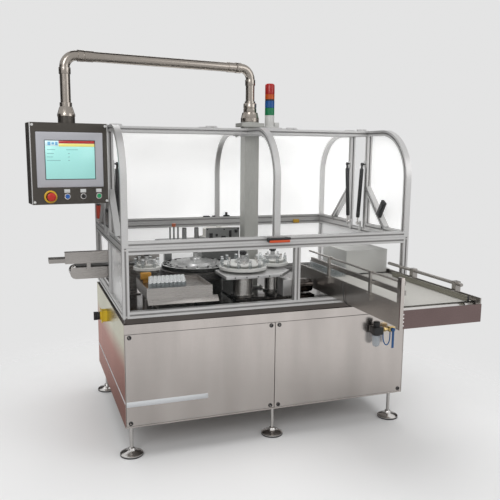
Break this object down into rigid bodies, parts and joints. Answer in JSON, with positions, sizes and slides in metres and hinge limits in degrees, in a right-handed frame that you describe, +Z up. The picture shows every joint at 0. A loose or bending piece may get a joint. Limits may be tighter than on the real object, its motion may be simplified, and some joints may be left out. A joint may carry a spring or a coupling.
{
  "type": "rotary labelling machine",
  "caption": "Cabinet-based rotary labelling machine with gull-wing glazed hoods, swivel operator panel, turntable, three starwheels and in- and outfeed belts.",
  "frame": {"origin": "middle of the footprint of the whole machine, at floor level", "axes": "+X to the right along the front, +Y from the operator side to the back, +Z up"},
  "size_m": [1.9008, 1.684, 1.9275],
  "materials": {
    "stainless": "satin brushed stainless sheet",
    "aluminium": "natural anodised profile",
    "machined_plate": "dark satin plate",
    "chrome": "bright plated",
    "panel_housing": "grey satin housing",
    "arm_tube": "brushed tube",
    "column_paint": "grey satin paint",
    "clear_sheet": "clear polycarbonate",
    "black_plastic": "satin black",
    "strut_black": "satin black cylinder",
    "white_plastic": "white engineering plastic",
    "belt_cream": "cream belt",
    "belt_dark": "dark belt",
    "screen_bezel": "grey bezel with dark display",
    "stop_red": "red push head",
    "button_blue": "blue cap",
    "button_black": "black cap",
    "button_green": "green cap",
    "light_tower": "coloured lens stack",
    "switch_yellow": "yellow plate on a grey base",
    "reel_paper": "wound blank labels",
    "lever_blue": "blue grip"
  },
  "bodies": {
    "machine": {"cabinet_shell": "stainless", "cabinet_panel_left": "stainless", "cabinet_panel_right": "stainless", "foot_front_left": "chrome", "foot_front_mid": "chrome", "foot_front_right": "chrome", "foot_rear_left": "chrome", "foot_rear_mid": "chrome", "foot_rear_right": "chrome", "table_plate": "machined_plate", "guard_front": "aluminium", "guard_rear": "aluminium", "guard_left": "aluminium", "guard_right": "aluminium", "window_front": "clear_sheet", "window_rear": "clear_sheet", "window_left": "clear_sheet", "window_right": "clear_sheet", "column": "column_paint", "top_beam": "aluminium", "stack_light": "light_tower", "main_switch_plate": "switch_yellow", "drive_unit": "stainless", "container_tray": "stainless", "infeed_frame": "stainless", "infeed_belt": "belt_dark", "outfeed_frame": "stainless", "outfeed_belt": "belt_cream", "discharge_cover": "stainless", "label_head": "machined_plate", "air_regulator": "black_plastic"},
    "front_hood": {"hood_front_frame": "aluminium", "hood_front_glazing": "clear_sheet", "hood_handle": "black_plastic"},
    "rear_hood": {"hood_rear_frame": "aluminium", "hood_rear_glazing": "clear_sheet"},
    "panel_arm": {"hmi_arm": "arm_tube"},
    "operator_panel": {"hmi_box": "panel_housing", "hmi_screen": "screen_bezel"},
    "emergency_stop": {"estop_head": "stop_red"},
    "blue_button": {"button_blue": "button_blue"},
    "black_button": {"button_black": "button_black"},
    "green_button": {"button_green": "button_green"},
    "turntable": {"turntable_disc": "machined_plate"},
    "main_starwheel": {"starwheel_main": "white_plastic"},
    "exit_starwheel": {"starwheel_exit": "white_plastic"},
    "infeed_starwheel": {"starwheel_infeed": "white_plastic"},
    "infeed_drum": {"infeed_roller": "chrome"},
    "outfeed_drum": {"outfeed_roller": "chrome"},
    "reel": {"label_reel": "reel_paper"},
    "main_switch": {"main_switch_knob": "black_plastic"},
    "air_shut_off": {"air_valve_lever": "lever_blue"},
    "front_left_strut_rod": {"strut_front_left_rod": "chrome"},
    "front_left_strut_cylinder": {"strut_front_left_cylinder": "strut_black"},
    "front_right_strut_rod": {"strut_front_right_rod": "chrome"},
    "front_right_strut_cylinder": {"strut_front_right_cylinder": "strut_black"},
    "rear_left_strut_rod": {"strut_rear_left_rod": "chrome"},
    "rear_left_strut_cylinder": {"strut_rear_left_cylinder": "strut_black"},
    "rear_right_strut_rod": {"strut_rear_right_rod": "chrome"},
    "rear_right_strut_cylinder": {"strut_rear_right_cylinder": "strut_black"}
  },
  "joints": [
    {"name": "front_hood_hinge", "type": "hinge", "parent": "machine", "child": "front_hood", "pos_m": [0.18036, 0.24025, 1.5837], "axis": [-1, 0, 0], "range_deg": [0, 70]},
    {"name": "rear_hood_hinge", "type": "hinge", "parent": "machine", "child": "rear_hood", "pos_m": [0.18036, 0.38175, 1.5837], "axis": [1, 0, 0], "range_deg": [0, 70]},
    {"name": "front_left_strut_rod_swing", "type": "hinge", "parent": "machine", "child": "front_left_strut_rod", "pos_m": [-0.51964, 0.254, 1.046], "axis": [1, 0, 0], "range_deg": [0, 17.03]},
    {"name": "front_left_strut_cylinder_stroke", "type": "slide", "parent": "front_left_strut_rod", "child": "front_left_strut_cylinder", "axis": [0, -0.0955, 0.9954], "range_m": [0, 0.18443]},
    {"name": "front_right_strut_rod_swing", "type": "hinge", "parent": "machine", "child": "front_right_strut_rod", "pos_m": [0.88036, 0.254, 1.046], "axis": [1, 0, 0], "range_deg": [0, 17.03]},
    {"name": "front_right_strut_cylinder_stroke", "type": "slide", "parent": "front_right_strut_rod", "child": "front_right_strut_cylinder", "axis": [0, -0.0955, 0.9954], "range_m": [0, 0.18443]},
    {"name": "rear_left_strut_rod_swing", "type": "hinge", "parent": "machine", "child": "rear_left_strut_rod", "pos_m": [-0.51964, 0.368, 1.046], "axis": [-1, 0, 0], "range_deg": [0, 17.03]},
    {"name": "rear_left_strut_cylinder_stroke", "type": "slide", "parent": "rear_left_strut_rod", "child": "rear_left_strut_cylinder", "axis": [0, 0.0955, 0.9954], "range_m": [0, 0.18443]},
    {"name": "rear_right_strut_rod_swing", "type": "hinge", "parent": "machine", "child": "rear_right_strut_rod", "pos_m": [0.88036, 0.368, 1.046], "axis": [-1, 0, 0], "range_deg": [0, 17.03]},
    {"name": "rear_right_strut_cylinder_stroke", "type": "slide", "parent": "rear_right_strut_rod", "child": "rear_right_strut_cylinder", "axis": [0, 0.0955, 0.9954], "range_m": [0, 0.18443]},
    {"name": "arm_swivel", "type": "hinge", "parent": "machine", "child": "panel_arm", "pos_m": [0.22136, 0.311, 1.6163], "axis": [0, 0, 1], "range_deg": [-16, 0]},
    {"name": "panel_swivel", "type": "hinge", "parent": "panel_arm", "child": "operator_panel", "pos_m": [-0.76198, 0.1728, 1.6125], "axis": [0, 0, 1], "range_deg": [-90, 90]},
    {"name": "stop_press", "type": "slide", "parent": "operator_panel", "child": "emergency_stop", "axis": [-0.1392, 0.9903, 0], "range_m": [0, 0.004]},
    {"name": "blue_press", "type": "slide", "parent": "operator_panel", "child": "blue_button", "axis": [-0.1392, 0.9903, 0], "range_m": [0, 0.003], "stiffness_N_per_m": 600},
    {"name": "black_press", "type": "slide", "parent": "operator_panel", "child": "black_button", "axis": [-0.1392, 0.9903, 0], "range_m": [0, 0.003], "stiffness_N_per_m": 600},
    {"name": "green_press", "type": "slide", "parent": "operator_panel", "child": "green_button", "axis": [-0.1392, 0.9903, 0], "range_m": [0, 0.003], "stiffness_N_per_m": 600},
    {"name": "turntable_spin", "type": "hinge", "parent": "machine", "child": "turntable", "pos_m": [-0.08764, 0.321, 0.8245], "axis": [0, 0, 1], "continuous": true},
    {"name": "main_starwheel_spin", "type": "hinge", "parent": "machine", "child": "main_starwheel", "pos_m": [0.10636, 0.079, 0.8343], "axis": [0, 0, 1], "continuous": true},
    {"name": "exit_starwheel_spin", "type": "hinge", "parent": "machine", "child": "exit_starwheel", "pos_m": [0.30536, 0.156, 0.8343], "axis": [0, 0, 1], "continuous": true},
    {"name": "infeed_starwheel_spin", "type": "hinge", "parent": "machine", "child": "infeed_starwheel", "pos_m": [-0.38164, 0.202, 0.8343], "axis": [0, 0, 1], "continuous": true},
    {"name": "infeed_drum_spin", "type": "hinge", "parent": "machine", "child": "infeed_drum", "pos_m": [-0.73264, 0.35, 0.83], "axis": [0, 1, 0], "continuous": true},
    {"name": "outfeed_drum_spin", "type": "hinge", "parent": "machine", "child": "outfeed_drum", "pos_m": [0.69436, -0.784, 0.779], "axis": [1, 0, 0], "continuous": true},
    {"name": "reel_spin", "type": "hinge", "parent": "machine", "child": "reel", "pos_m": [0.12036, 0.57, 0.9553], "axis": [0, 0, 1], "continuous": true},
    {"name": "main_switch_turn", "type": "hinge", "parent": "machine", "child": "main_switch", "pos_m": [-0.60824, 0.399, 0.566], "axis": [-1, 0, 0], "range_deg": [0, 90]},
    {"name": "air_valve_turn", "type": "hinge", "parent": "machine", "child": "air_shut_off", "pos_m": [0.82436, -0.2563, 0.54], "axis": [0, -1, 0], "range_deg": [0, 90]}
  ],
  "couplings": [
    {"joint": "front_left_strut_rod_swing", "follows": "front_hood_hinge", "ratio": 0.24255},
    {"joint": "front_left_strut_cylinder_stroke", "follows": "front_hood_hinge", "m_per_rad": 0.15071},
    {"joint": "front_right_strut_rod_swing", "follows": "front_hood_hinge", "ratio": 0.24255},
    {"joint": "front_right_strut_cylinder_stroke", "follows": "front_hood_hinge", "m_per_rad": 0.15071},
    {"joint": "rear_left_strut_rod_swing", "follows": "rear_hood_hinge", "ratio": 0.24255},
    {"joint": "rear_left_strut_cylinder_stroke", "follows": "rear_hood_hinge", "m_per_rad": 0.15071},
    {"joint": "rear_right_strut_rod_swing", "follows": "rear_hood_hinge", "ratio": 0.24255},
    {"joint": "rear_right_strut_cylinder_stroke", "follows": "rear_hood_hinge", "m_per_rad": 0.15071},
    {"joint": "main_starwheel_spin", "follows": "turntable_spin", "ratio": -1.3333},
    {"joint": "exit_starwheel_spin", "follows": "turntable_spin", "ratio": 2},
    {"joint": "infeed_starwheel_spin", "follows": "turntable_spin", "ratio": -2.6667}
  ]
}
